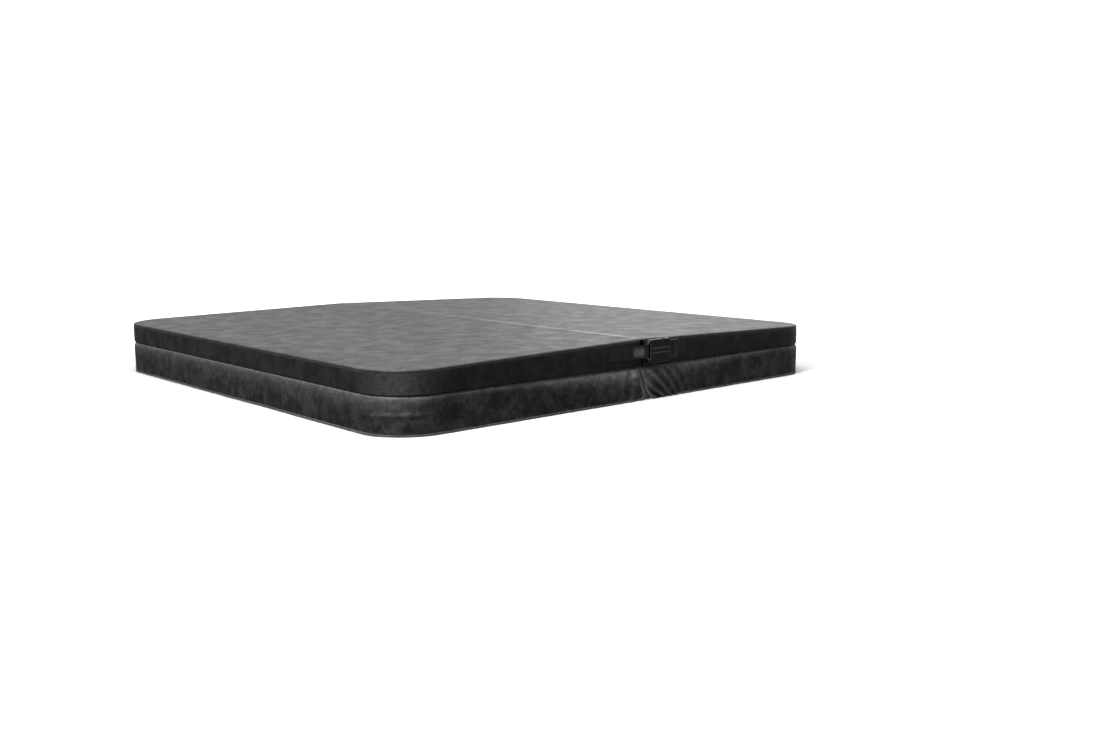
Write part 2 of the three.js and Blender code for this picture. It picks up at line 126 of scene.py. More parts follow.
def fractal(points, scale, seed, octaves=3):
    return sum(noise(points, scale / 2**i, seed + i) / 2**i for i in range(octaves)) / 1.6


def smoothstep(a, b, x):
    t = np.clip((np.asarray(x, float) - a) / (b - a), 0, 1)
    return t * t * (3 - 2 * t)


def bell(x, width):
    """1 where x is 0, fading to nothing a couple of widths away."""
    return np.exp(-(x / width) ** 2)


def curve(points, count):
    """A smooth line through the points, as (count, n) samples evenly spaced along it."""
    p = np.asarray(points, float)
    p = np.vstack([2 * p[0] - p[1], p, 2 * p[-1] - p[-2]])
    out = []
    for i in range(1, len(p) - 2):
        for t in np.linspace(0, 1, 24, endpoint=False):
            a, b, c, d = p[i - 1:i + 3]
            out.append(0.5 * (2 * b + (c - a) * t + (2 * a - 5 * b + 4 * c - d) * t**2
                              + (3 * b - a - 3 * c + d) * t**3))
    out = np.array(out + [p[-2]])
    along = np.concatenate([[0], np.cumsum(np.linalg.norm(np.diff(out, axis=0), axis=1))])
    at = np.linspace(0, along[-1], count)
    return np.stack([np.interp(at, along, out[:, k]) for k in range(out.shape[1])], axis=1)


# ---- Meshes ----

def add_object(name, data):
    obj = bpy.data.objects.new(name, data)
    bpy.context.scene.collection.objects.link(obj)
    return obj


def mesh_object(name, verts, faces, sharp=40):
    mesh = bpy.data.meshes.new(name)
    mesh.from_pydata(np.asarray(verts).reshape(-1, 3).tolist(), [], [list(map(int, f)) for f in faces])
    mesh.validate()
    mesh.polygons.foreach_set("use_smooth", [True] * len(mesh.polygons))
    mesh.set_sharp_from_angle(angle=math.radians(sharp))
    return add_object(name, mesh)


def outward(mesh):
    """Turns every face of a closed mesh outwards."""
    bm = bmesh.new()
    bm.from_mesh(mesh)
    bmesh.ops.recalc_face_normals(bm, faces=bm.faces)
    bm.to_mesh(mesh)
    bm.free()


def quads(index):
    """The faces of a grid of point numbers."""
    return np.stack([index[:-1, :-1], index[:-1, 1:], index[1:, 1:], index[1:, :-1]], axis=-1).reshape(-1, 4)


def grid_normals(grid):
    rows = np.gradient(grid, axis=0)
    cols = np.gradient(grid, axis=1)
    n = np.cross(cols, rows)
    return n / np.maximum(np.linalg.norm(n, axis=2, keepdims=True), 1e-12)


def sheet(name, grid, thickness, away, paleness=None):
    """A closed sheet: grid (rows, columns, 3) is its outer side and away points roughly outwards, for the
    whole sheet or at each point. The last argument says how much paler each point is, from 0 to 1, kept as a
    point
    attribute: rubbed wear, and painted light and shade on some pieces."""
    n = grid_normals(grid)
    n = np.where(np.sum(n * away, axis=2, keepdims=True) < 0, -n, n)
    inner = grid - n * thickness
    rows, cols = grid.shape[:2]
    size = rows * cols
    index = np.arange(size).reshape(rows, cols)
    front = quads(index)
    back = front[:, ::-1] + size
    border = np.concatenate([index[0, :], index[1:, -1], index[-1, -2::-1], index[-2:0:-1, 0]])
    after = np.roll(border, -1)
    rim = np.stack([after, border, border + size, after + size], axis=-1)
    obj = mesh_object(name, np.concatenate([grid.reshape(-1, 3), inner.reshape(-1, 3)]),
                      np.concatenate([front, back, rim]))
    outward(obj.data)
    if paleness is not None:
        layer = obj.data.attributes.new("paleness", "FLOAT", "POINT")
        layer.data.foreach_set("value", np.concatenate([paleness.ravel(), np.zeros(size)]))
    return obj


def tube(name, rings, sharp=40):
    """A closed solid through rings (n, m, 3) of points, capped at both ends."""
    rings = np.asarray(rings, float)
    n, m = rings.shape[:2]
    index = np.arange(n * m).reshape(n, m)
    after = np.roll(index, -1, axis=1)
    walls = np.stack([index[:-1], after[:-1], after[1:], index[1:]], axis=-1).reshape(-1, 4).tolist()
    obj = mesh_object(name, rings, walls + [index[0].tolist(), index[-1][::-1].tolist()], sharp)
    outward(obj.data)
    return obj


def islands(name, shapes):
    """Many small closed solids (verts, faces) in one mesh."""
    verts, faces = [], []
    start = 0
    for v, f in shapes:
        verts.append(v)
        faces += [[i + start for i in face] for face in f]
        start += len(v)
    obj = mesh_object(name, np.concatenate(verts), faces)
    outward(obj.data)
    return obj


BLOCK_FACES = [[0, 1, 2, 3], [4, 7, 6, 5], [0, 4, 5, 1], [1, 5, 6, 2], [2, 6, 7, 3], [3, 7, 4, 0]]


def thread(start, end, up, height):
    """One stitch: a small block with a raised, narrowed back, from start to end on a surface facing up."""
    t = end - start
    side = np.cross(up, t)
    side = side / np.linalg.norm(side) * THREAD_WIDTH / 2
    low = [start - side, start + side, end + side, end - side]
    high = [p * 0.72 + (start + end) / 2 * 0.28 + up * height for p in low]
    return np.array([p - up * height * 0.6 for p in low] + high), BLOCK_FACES


def stitching(name, points, normals, height=0.6 * MM):
    """Stitches along a line of points on a surface."""
    pitch, length = 7.5 * MM, 5.2 * MM
    steps = np.linalg.norm(np.diff(points, axis=0), axis=1)
    along = np.concatenate([[0], np.cumsum(steps)])
    starts = np.arange(0, along[-1] - length, pitch)

    def at(values, s):
        return np.stack([np.interp(s, along, values[:, k]) for k in range(3)], axis=1)

    a, b, up = at(points, starts), at(points, starts + length), at(normals, starts + length / 2)
    up = up / np.linalg.norm(up, axis=1, keepdims=True)
    return islands(name, [thread(*row, height) for row in zip(a, b, up)])


# ---- Materials ----

def material(name, metallic=0.0, roughness=0.5, specular=0.5):
    mat = bpy.data.materials.new(name)
    mat.use_nodes = True
    tree = mat.node_tree
    shader = tree.nodes["Principled BSDF"]
    shader.inputs["Metallic"].default_value = metallic
    shader.inputs["Roughness"].default_value = roughness
    shader.inputs["Specular IOR Level"].default_value = specular
    return mat, tree, shader


def add(tree, kind, links=None, **values):
    """Adds a node. links maps its inputs to other nodes' outputs; values set its inputs (in_...) or its
    properties."""
    node = tree.nodes.new("ShaderNode" + kind)
    for key, value in values.items():
        if key.startswith("in_"):
            node.inputs[key[3:].replace("_", " ")].default_value = value
        else:
            setattr(node, key, value)
    for key, output in (links or {}).items():
        tree.links.new(output, node.inputs[key])
    return node


def ramp(tree, source, stops):
    node = add(tree, "ValToRGB", {"Fac": source})
    elements = node.color_ramp.elements
    while len(elements) < len(stops):
        elements.new(0.5)
    for element, (position, colour) in zip(elements, stops):
        element.position = position
        element.color = (*colour, 1) if isinstance(colour, tuple) else (colour, colour, colour, 1)
    return node.outputs["Color"]


def rough_noise(tree, where, scale, detail=6.0, roughness=0.6, distortion=0.0):
    return add(tree, "TexNoise", {"Vector": where}, in_Scale=scale, in_Detail=detail,
               in_Roughness=roughness, in_Distortion=distortion).outputs["Fac"]


def math_node(tree, operation, *values):
    node = add(tree, "Math", operation=operation)
    for i, value in enumerate(values):
        if isinstance(value, (int, float)):
            node.inputs[i].default_value = value
        else:
            tree.links.new(value, node.inputs[i])
    return node.outputs[0]


def bump(tree, height, strength, distance, under=None):
    links = {"Height": height}
    if under is not None:
        links["Normal"] = under
    return add(tree, "Bump", links, in_Strength=strength, in_Distance=distance).outputs["Normal"]


def object_coordinates(tree):
    return add(tree, "TexCoord").outputs["Object"]


def paleness_map(tree):
    return add(tree, "Attribute", attribute_name="paleness").outputs["Fac"]


def overlay(tree, amount, colour, tone):
    """A grey tone laid over a colour by some amount."""
    mix = add(tree, "MixRGB", {"Fac": amount, "Color1": colour}, in_Color2=(tone, tone, tone, 1))
    return mix.outputs["Color"]


def ridges(tree, source, pitch):
    """Waves from -1 to 1, one for each pitch."""
    return math_node(tree, "SINE", math_node(tree, "MULTIPLY", source, 2 * math.pi / pitch))


def eased(tree, source, from_min, from_max, to_min, to_max):
    """A value mapped smoothly from one range to another."""
    node = add(tree, "MapRange", {"Value": source}, interpolation_type="SMOOTHSTEP", in_From_Min=from_min,
               in_From_Max=from_max, in_To_Min=to_min, in_To_Max=to_max)
    return node.outputs["Result"]


def feed(tree, shader, colour, normal, roughness=None):
    """Links a shader's inputs."""
    tree.links.new(colour, shader.inputs["Base Color"])
    tree.links.new(normal, shader.inputs["Normal"])
    if roughness is not None:
        tree.links.new(roughness, shader.inputs["Roughness"])


def vinyl(name, dark, light, cloud=16.0, contrast=0.12, roughness=0.5, specular=0.3, puff=0.0, pale_tone=0.16,
          crease=0.3, buff=0.0):
    """Marbled, grained vinyl: clouds and short scuffs of a lighter tone over a dark one, and a paler tone
    laid where
    the point attribute says: rubbed wear, and painted light and shade on some pieces. cloud is the clouds'
    number per metre, contrast how narrow the step between tones is, puff the depth of soft undulations of the
    clouds' size, pale_tone (the tone laid there), crease the strength of the fine creases and buff how much
    smoother rubbing has made it."""
    mat, tree, shader = material(name, roughness=roughness, specular=specular)
    where = object_coordinates(tree)
    clouds = rough_noise(tree, where, cloud, detail=5, roughness=0.55, distortion=0.4)
    scuffs = rough_noise(tree, where, cloud * 2.6, detail=6, roughness=0.6, distortion=1.6)
    mixed = math_node(tree, "ADD", math_node(tree, "MULTIPLY", clouds, 0.6),
                      math_node(tree, "MULTIPLY", scuffs, 0.4))
    low, high = 0.5 - contrast, 0.5 + contrast
    marbled = ramp(tree, mixed, [(low, dark), (0.5, (dark + light) * 0.4), (high, light)])
    # paler where the point attribute is set: rubbed wear, and painted highlight and shade on some pieces
    paling = math_node(tree, "MULTIPLY", paleness_map(tree), ramp(tree, scuffs, [(0.3, 0.35), (0.65, 1.0)]))
    polish = ramp(tree, mixed, [(low, roughness + 0.06), (high, roughness - 0.05)])
    polish = math_node(tree, "SUBTRACT", polish, math_node(tree, "MULTIPLY", paling, buff))
    leather = add(tree, "TexVoronoi", {"Vector": where}, in_Scale=620.0, feature="DISTANCE_TO_EDGE")
    pores = rough_noise(tree, where, 1500.0, detail=3)
    creases = rough_noise(tree, where, 85.0, detail=7, roughness=0.7, distortion=1.8)
    normal = bump(tree, creases, crease, 0.0016)
    if puff:
        normal = bump(tree, clouds, 1.0, puff, normal)
    normal = bump(tree, leather.outputs["Distance"], 0.25, 0.0005, normal)
    normal = bump(tree, pores, 0.2, 0.0003, normal)
    feed(tree, shader, overlay(tree, paling, marbled, pale_tone), normal, polish)
    return mat


def webbing_material():
    """Woven polypropylene: a fine herringbone of raised cords, painted paler where its point attribute is
    set: a painted highlight where the strap bows out.
    """
    mat, tree, shader = material("webbing", roughness=0.55, specular=0.3)
    where = object_coordinates(tree)
    xyz = add(tree, "SeparateXYZ", {"Vector": where})
    zig = math_node(tree, "PINGPONG", xyz.outputs["Z"], 4 * MM)
    cords = ridges(tree, math_node(tree, "ADD", xyz.outputs["X"], zig), 1.6 * MM)
    rows = ridges(tree, xyz.outputs["Z"], 1.1 * MM)
    weave = math_node(tree, "ADD", cords, math_node(tree, "MULTIPLY", rows, 0.5))
    fuzz = rough_noise(tree, where, 900.0, detail=4)
    tone = rough_noise(tree, where, 60.0, detail=5)
    dark = ramp(tree, math_node(tree, "ADD", math_node(tree, "MULTIPLY", weave, 0.12), tone),
                [(0.3, 0.004), (0.8, 0.022)])
    normal = bump(tree, fuzz, 0.3, 0.0004, bump(tree, weave, 0.9, 0.0004))
    feed(tree, shader, overlay(tree, paleness_map(tree), dark, 0.22), normal)
    return mat


def moulded_material(name, tone, roughness=0.42, paling=1.5):
    """Moulded acetal: fine spark texture, smoother and paler in patches. Its edges and ribs are painted
    paler, to the last argument's number of times its tone: a painted highlight."""
    mat, tree, shader = material(name, roughness=roughness, specular=0.45)
    where = object_coordinates(tree)
    paleness = rough_noise(tree, where, 35.0, detail=6)
    # painted highlight on the sharper edges and ribs
    edges = ramp(tree, add(tree, "NewGeometry").outputs["Pointiness"], [(0.503, 0.0), (0.545, 1.0)])
    patches = ramp(tree, paleness, [(0.35, tone), (0.75, tone * 2.2)])
    normal = bump(tree, rough_noise(tree, where, 1800.0, detail=2), 0.25, 0.0003)
    polish = ramp(tree, paleness, [(0.3, roughness + 0.08), (0.75, roughness - 0.08)])
    feed(tree, shader, overlay(tree, edges, patches, tone * paling), normal, polish)
    return mat


def scrim_material():
    """Underside liner: black coated sheet over a square scrim of threads."""
    mat, tree, shader = material("liner", roughness=0.6, specular=0.3)
    where = object_coordinates(tree)
    xyz = add(tree, "SeparateXYZ", {"Vector": where})
    scrim = math_node(tree, "MAXIMUM", *(ridges(tree, xyz.outputs[axis], 3.2 * MM) for axis in ("X", "Y")))
    tone = rough_noise(tree, where, 9.0, detail=7)
    mixed = math_node(tree, "ADD", math_node(tree, "MULTIPLY", scrim, 0.08), tone)
    normal = bump(tree, rough_noise(tree, where, 22.0, detail=5, distortion=1.0), 0.3, 0.004)
    normal = bump(tree, scrim, 0.5, 0.0005, normal)
    feed(tree, shader, ramp(tree, mixed, [(0.3, 0.012), (0.75, 0.034)]), normal)
    return mat


def metal_material(name, tone, roughness, scale=120.0):
    """Plated or rolled metal with a mottled, slightly tarnished skin."""
    mat, tree, shader = material(name, metallic=1.0, roughness=roughness)
    where = object_coordinates(tree)
    spots = rough_noise(tree, where, scale, detail=6, roughness=0.7)
    dull = tuple(c * 0.6 for c in tone)
    polish = ramp(tree, spots, [(0.3, roughness + 0.15), (0.7, roughness)])
    mottled = ramp(tree, spots, [(0.35, dull), (0.65, tone)])
    feed(tree, shader, mottled, bump(tree, spots, 0.2, 0.0004), polish)
    return mat


def foam_material():
    mat, tree, shader = material("foam", roughness=0.85, specular=0.2)
    where = object_coordinates(tree)
    cells = add(tree, "TexVoronoi", {"Vector": where}, in_Scale=260.0, feature="DISTANCE_TO_EDGE")
    beads = cells.outputs["Distance"]
    feed(tree, shader, ramp(tree, beads, [(0.0, 0.62), (0.2, 0.85)]), bump(tree, beads, 0.5, 0.001))
    return mat


def film_material():
    mat, tree, shader = material("film", roughness=0.2, specular=0.5)
    where = object_coordinates(tree)
    crinkle = rough_noise(tree, where, 30.0, detail=6, distortion=2.0)
    feed(tree, shader, ramp(tree, crinkle, [(0.3, 0.45), (0.7, 0.62)]), bump(tree, crinkle, 0.5, 0.002))
    return mat


TOP = {"dark": 0.017, "light": 0.053, "cloud": 13.0, "roughness": 0.46, "specular": 0.42, "crease": 0.12}
MATERIALS = {
    "top_vinyl": vinyl("top_vinyl", puff=0.0014, **TOP),
    # The hinge strip's paler tone is a painted highlight along the fold.
    "hinge_vinyl": vinyl("hinge_vinyl", pale_tone=0.12, buff=0.28, **TOP),
    # Painted shade: the side vinyl is a much darker copy of the top's vinyl, and the skirt's a darker one,
    # for the upright faces.
    "side_vinyl": vinyl("side_vinyl", 0.0025, 0.017, cloud=18.0, contrast=0.09, roughness=0.42, specular=0.3),
    "skirt_vinyl": vinyl("skirt_vinyl", 0.004, 0.043, cloud=22.0, contrast=0.09, specular=0.32, puff=0.004,
                         pale_tone=0.24, crease=0.6),
    "hem_tape": vinyl("hem_tape", 0.15, 0.31, cloud=40.0, contrast=0.2, roughness=0.45, pale_tone=0.4),
    "seal_vinyl": vinyl("seal_vinyl", 0.008, 0.02, cloud=30.0, roughness=0.45),
    "liner": scrim_material(),
    "webbing": webbing_material(),
    "thread": moulded_material("thread", 0.018, 0.6),
    # Painted light: the hinge's stitches get a pale copy of the thread, so their shaded sides don't read
    # dark.
    "pale_thread": moulded_material("pale_thread", 0.2, 0.6),
    # Painted highlight: the buckle's edges and ribs are painted forty times paler than its body.
    "buckle_plastic": moulded_material("buckle_plastic", 0.003, 0.3, paling=40),
    "zipper_tape": webbing_material(),
    "zipper_metal": metal_material("zipper_metal", (0.34, 0.34, 0.33), 0.35),
    "grommet_brass": metal_material("grommet_brass", (0.5, 0.36, 0.15), 0.3),
    "galvanised_steel": metal_material("galvanised_steel", (0.5, 0.52, 0.54), 0.4, 45.0),
    "foam": foam_material(),
    "film": film_material(),
}


def place(obj, slot, body, *nodes, look=None):
    """Gives a piece its finish and body, and the CAD nodes that it stands for."""
    obj.data.materials.clear()
    obj.data.materials.append(MATERIALS[look or slot])
    if isinstance(body, str):
        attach(obj, body)
    if nodes:
        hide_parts(*nodes)
    return obj


# ---- The jackets ----

def top_height(x):
    """The top surface's height at a distance from the fold."""
    return FOLD_TOP + (EDGE_TOP - FOLD_TOP) * np.abs(x) / HALF


def edge_path():
    """Points (x, y), outward normals and distances round the right half's outer edge, front to rear."""
    straight = HALF - CORNER
    pieces = []
    front = np.arange(0, straight, STEP)
    pieces.append((np.stack([front, -HALF + 0 * front], 1), np.tile([0.0, -1.0], (len(front), 1))))
    angles = np.linspace(-math.pi / 2, 0, math.ceil(CORNER * math.pi / 2 / STEP), endpoint=False)
    way = np.stack([np.cos(angles), np.sin(angles)], 1)
    pieces.append((way * CORNER + [straight, -straight], way))
    side = np.arange(-straight, 0, STEP)
    pieces.append((np.stack([HALF + 0 * side, side], 1), np.tile([1.0, 0.0], (len(side), 1))))
    points = np.concatenate([p for p, _ in pieces])
    normals = np.concatenate([n for _, n in pieces])
    flip = np.array([1.0, -1.0])
    middle = np.array([[HALF, 0.0]]), np.array([[1.0, 0.0]])
    points = np.concatenate([points, middle[0], points[::-1] * flip])
    normals = np.concatenate([normals, middle[1], normals[::-1] * flip])
    steps = np.linalg.norm(np.diff(points, axis=0), axis=1)
    return points, normals, np.concatenate([[0], np.cumsum(steps)])


EDGE_POINTS, EDGE_NORMALS, EDGE_RUN = edge_path()
TO_FOLD = np.minimum(EDGE_RUN, EDGE_RUN[-1] - EDGE_RUN)  # along the edge to the nearer end of the fold
CORNER_RUN = HALF - CORNER + CORNER * math.pi / 4  # the same distance to the middle of a corner
CORNER_HIGHLIGHT = bell(TO_FOLD - CORNER_RUN, 100 * MM)[None, :]  # painted highlight: the corners' outer faces are painted paler
NEAR_SLIT = bell(TO_FOLD, 420 * MM)[None, :]
SLIT_ZONE = 260 * MM  # how far from the fold a slanted end pulls the skirt along


def edge_surface(side, offsets, heights, starts):
    """A grid over one half's outer edge. offsets and heights are (rows, columns); starts is each row's x at
    the fold."""
    sign = SIDES[side]
    fade = np.clip(1 - TO_FOLD / SLIT_ZONE, 0, 1)
    straight = np.abs(EDGE_NORMALS[:, 1]) > 0.999
    x = EDGE_POINTS[None, :, 0] + EDGE_NORMALS[None, :, 0] * offsets
    x = x + np.asarray(starts)[:, None] * (fade * straight)[None, :]
    y = EDGE_POINTS[None, :, 1] + EDGE_NORMALS[None, :, 1] * offsets
    return np.stack([sign * x, y, heights + 0 * x], axis=2)


def edge_away(side, rows):
    away = np.concatenate([EDGE_NORMALS * [SIDES[side], 1], np.zeros((len(EDGE_RUN), 1))], axis=1)
    return np.broadcast_to(away, (rows, *away.shape))


def panel_axis(flat, profile):
    """Positions along one axis of a panel: across its flat part, then on along its edge profile."""
    count = max(2, round(flat / (2 * STEP)))
    return np.concatenate([np.linspace(0, flat, count), flat + np.asarray(profile)])


ROLL_RUN = EDGE_ROLL * math.pi / 2
PROFILE = np.concatenate([np.linspace(0, ROLL_RUN, 7)[1:], ROLL_RUN + np.array([0.45, 0.9, 1.0]) * LIP])


def rolled(past):
    """How far out and how far down a point lies that is past the flat's edge by this much."""
    angle = np.clip(past, 0, ROLL_RUN) / EDGE_ROLL
    out = EDGE_ROLL * np.sin(angle)
    down = EDGE_ROLL * (1 - np.cos(angle)) + np.maximum(past - ROLL_RUN, 0)
    return out, down


def panel_plan(fold_edge):
    """The right half's top in plan, as x, y and drop grids: flat, with rolled edges on all four sides."""
    flat = HALF - EDGE_ROLL
    fold_flat = fold_edge + EDGE_ROLL
    xs = fold_flat + panel_axis(flat - fold_flat, PROFILE)
    fold_profile = PROFILE[::-1]
    xs = np.concatenate([fold_flat - fold_profile, xs])
    ys = panel_axis(flat, PROFILE)
    ys = np.concatenate([-ys[:0:-1], ys])
    X, Y = np.meshgrid(xs, ys, indexing="ij")
    radius = CORNER - EDGE_ROLL
    centre = flat - radius
    p, q = X - centre, np.abs(Y) - centre
    in_corner = (p > 0) & (q > 0)
    m = np.where(in_corner, np.maximum(p, q), 0)
    with np.errstate(divide="ignore", invalid="ignore"):
        turn = np.where(p >= q, q / p, 2 - p / q) * math.pi / 4
    past_corner = m - radius
    past_x = np.where(in_corner, 0, p - radius)
    past_y = np.where(in_corner, 0, q - radius)
    out_x, down_x = rolled(past_x)
    out_y, down_y = rolled(past_y)
    out_c, down_c = rolled(np.where(in_corner, past_corner, 0))
    out_f, down_f = rolled(fold_flat - X)
    reach = np.minimum(m, radius) + out_c
    x = np.where(in_corner, centre + reach * np.cos(turn), np.minimum(X, flat) + out_x)
    x = np.where(X < fold_flat, fold_flat - out_f, x)
    y = np.where(in_corner, centre + reach * np.sin(turn), np.minimum(np.abs(Y), flat) + out_y)
    drop = np.maximum.reduce([down_x, down_y, down_c, down_f])
    return x, y * np.sign(Y), drop


def top_panel(side):
    """The top vinyl: taut over the foam, with soft puckers, rolled over its edges."""
    x, y, drop = panel_plan(FOLD_FACE)
    grid = np.stack([SIDES[side] * x, y, top_height(x)], axis=2)
    inside = smoothstep(0, 90 * MM, HALF - np.maximum(np.abs(x), np.abs(y)))
    slack = 0.9 * MM * fractal(grid * [1, 1, 0], 0.34, 3) + 0.35 * MM * noise(grid * [1, 1, 0], 0.07, 9)
    edge_pull = 0.3 * MM * (1 + noise(grid * [1, 1, 0], 0.045, 21)) * (1 - inside)
    clear = smoothstep(0, 60 * MM, np.abs(x) - HINGE_LEAF)  # flat beside the hinge strip
    grid[:, :, 2] += slack * inside * clear + edge_pull - drop
    away = np.zeros_like(grid)
    away[:, :, 2] = 1
    over_edge = drop[:, :, None] > EDGE_ROLL * 0.6
    away[:, :, :2] = np.stack([np.sign(grid[:, :, 0]), np.sign(y)], axis=2) * over_edge
    fold_side = (np.abs(x) < FOLD_FACE + EDGE_ROLL) & (drop > 0)
    away[fold_side, 0] *= -1
    low = EDGE_ROLL + LIP
    paleness = 0.2 * bell(drop - 1.2 * MM, 2 * MM) + 0.4 * smoothstep(low - 3 * MM, low, drop)
    obj = sheet(f"{side}_top_skin", grid, SHEET, away, np.where(drop > 0, paleness, 0))
    return place(obj, "top_vinyl", f"{side}_half", f"{side}_top_panel")


def side_band(side):
    """The dark band round the slab's edge, tucked under at its foot."""
    top = top_height(EDGE_POINTS[:, 0]) - EDGE_ROLL - LIP + 2.5 * MM
    share = np.array([1.0, 0.96, 0.86, 0.72, 0.58, 0.45, 0.33, 0.22])
    bulge = np.array([-0.9, -0.2, 0.3, 0.7, 0.9, 0.9, 0.8, 0.5]) * MM
    foot = MM * np.array([[7, 0.3], [4.5, 0.2], [2.4, 0], [1.1, -0.6], [0.4, -1.8], [0.15, -4.5],
                          [0.1, -9.5]])
    heights = np.concatenate([share[:, None] * (top - 9 * MM)[None, :] + 9 * MM,
                              np.repeat(foot[:, :1], len(top), axis=1)])
    offsets = np.repeat(np.concatenate([bulge, foot[:, 1]])[:, None], len(top), axis=1)
    grid = edge_surface(side, offsets, heights, np.full(len(heights), FOLD_FACE))
    ripple = 0.8 * MM * fractal(grid, 0.13, 5) + 0.35 * MM * noise(grid, 0.035, 8)
    droop = -3.5 * MM * bell(TO_FOLD, 240 * MM)
    away = edge_away(side, len(heights))
    middle = np.sin(np.pi * np.linspace(0, 1, len(heights)))[:, None, None]
    grid = grid + away * ripple[:, :, None] * middle
    grid[:, :, 2] += droop[None, :] * (1 - heights / top[None, :])
    # The band's corners are painted paler: painted highlight.
    obj = sheet(f"{side}_band_skin", grid, 1 * MM, away, 0.5 * CORNER_HIGHLIGHT + 0 * heights)
    return place(obj, "side_vinyl", f"{side}_half", f"{side}_side_band")


# Where each skirt ends at the slit: (depth below the lip, x) in millimetres from the fold's plane.
SLIT_ENDS = {
    "left": [[0, -10], [30, -5], [60, 2], [95, 12], [116, 18], [124, 18], [127, 15]],
    "right": [[0, -4], [30, 5], [60, 16], [90, 30], [110, 45], [121, 57], [127, 72]],
}


def slit_end(side, depth):
    line = curve(SLIT_ENDS[side], 60) * MM
    return np.interp(depth, line[:, 0], line[:, 1]) * SIDES[side]


def skirt_surface(side):
    """The hanging skirt: out from its seam over a soft shoulder, then down with waves and crumples. Also
    gives painted light and shade for its folds: crests and crinkles paler, the corner crease's trough darker."""
    t = SKIRT_DEPTHS[:, None]
    share = t / SKIRT_FOOT
    ends = slit_end(side, SKIRT_DEPTHS)
    flat = edge_surface(side, np.zeros((len(t), len(EDGE_RUN))), -t, ends)
    level_flat = flat * [1, 1, 0]
    right = side == "right"
    shoulder = (7.5 + 22 * NEAR_SLIT) * MM
    reach = (12 + 9 * NEAR_SLIT) * MM
    offsets = -SEAM_INSET + reach * (1 - np.exp(-t / shoulder)) - 5 * MM * share**2
    offsets = offsets + 4.5 * MM * noise(level_flat, 0.31, 40) * share**1.3
    offsets = offsets + 1.8 * MM * fractal(flat * [1, 1, 0.8], 0.075, 44) * smoothstep(0.02, 0.3, share)
    offsets = offsets + 0.4 * MM * noise(flat * [1, 1, 0.7], 0.022, 50) * smoothstep(0.05, 0.3, share)
    # folds that fan down and away from the slit
    slant = TO_FOLD[None, :] - (0.8 if right else 0.35) * t
    folds = np.sin(2 * np.pi * slant / (52 * MM) + 2.2 * noise(flat, 0.09, 60))
    folds = folds * bell(TO_FOLD[None, :], (190 if right else 105) * MM) * smoothstep(0.02, 0.25, share)
    offsets = offsets + 4.2 * MM * folds
    # a level crease and crinkles round each corner, where the sheet is gathered
    corner = bell(TO_FOLD - CORNER_RUN, 75 * MM)[None, :]
    level = t - 58 * MM + 5 * MM * noise(level_flat, 0.06, 64)
    crest = corner * bell(level, 5 * MM)
    trough = corner * bell(level - 14 * MM, 8 * MM)
    crinkle = corner * noise(flat * [1, 1, 1.6], 0.03, 66) * smoothstep(0.05, 0.3, share)
    offsets = offsets + 3 * MM * (crest - trough) + 1.1 * MM * crinkle
    # painted light and shade: the folds' crests and crinkles paler, the crease's trough darker
    fold_light = 0.4 * np.maximum(folds, 0) + 0.5 * crest - 0.25 * trough + 0.25 * crinkle
    if right:  # flared at the corner
        offsets = offsets + 6 * MM * share**2 * bell(TO_FOLD - CORNER_RUN, 170 * MM)[None, :]
    else:  # the end beside the slit is bunched into a loop
        loop = np.hypot(TO_FOLD[None, :] - 38 * MM, (t - 52 * MM) * 1.3)
        offsets = offsets + 3.4 * MM * bell(loop - 20 * MM, 6 * MM)
    grid = edge_surface(side, offsets, -t, ends)
    grid[:, :, 2] += 2.2 * MM * noise(level_flat, 0.42, 70) * share
    return grid, fold_light


def drape(grid, held):
    """Lets a hanging sheet settle by cloth simulation. held is how firmly each row is kept, from 1 to 0."""
    coarse = grid[:, ::2]
    rows, cols = coarse.shape[:2]
    index = np.arange(rows * cols).reshape(rows, cols)
    obj = mesh_object("hanging", coarse, quads(index))
    group = obj.vertex_groups.new(name="held")
    for row, weight in zip(index, held):
        group.add(row.tolist(), float(weight), "REPLACE")
    cloth = obj.modifiers.new("cloth", "CLOTH").settings
    cloth.vertex_group_mass = "held"
    cloth.quality = 4
    cloth.mass = 0.25
    cloth.tension_stiffness = 12
    cloth.compression_stiffness = 12
    cloth.shear_stiffness = 4
    cloth.bending_stiffness = 0.35
    cloth.air_damping = 3
    cloth.shrink_min = -0.01
    for step in range(1, SETTLE_STEPS + 1):
        bpy.context.scene.frame_set(step)
    hung = obj.evaluated_get(bpy.context.evaluated_depsgraph_get()).data
    settled = np.empty(coarse.size)
    hung.vertices.foreach_get("co", settled)
    bpy.data.objects.remove(obj)
    bpy.context.scene.frame_set(1)
    shift = settled.reshape(coarse.shape) - coarse
    length = np.maximum(np.linalg.norm(shift, axis=2, keepdims=True), 1e-9)
    shift *= SETTLE_CAP * np.tanh(length / SETTLE_CAP) / length
    for _ in range(3):
        shift[:, 1:-1] = (shift[:, :-2] + shift[:, 1:-1] * 2 + shift[:, 2:]) / 4
    fine, every = np.arange(grid.shape[1]), np.arange(0, grid.shape[1], 2)
    moved = np.stack([[np.interp(fine, every, row[:, k]) for row in shift] for k in range(3)], axis=2)
    return grid + moved


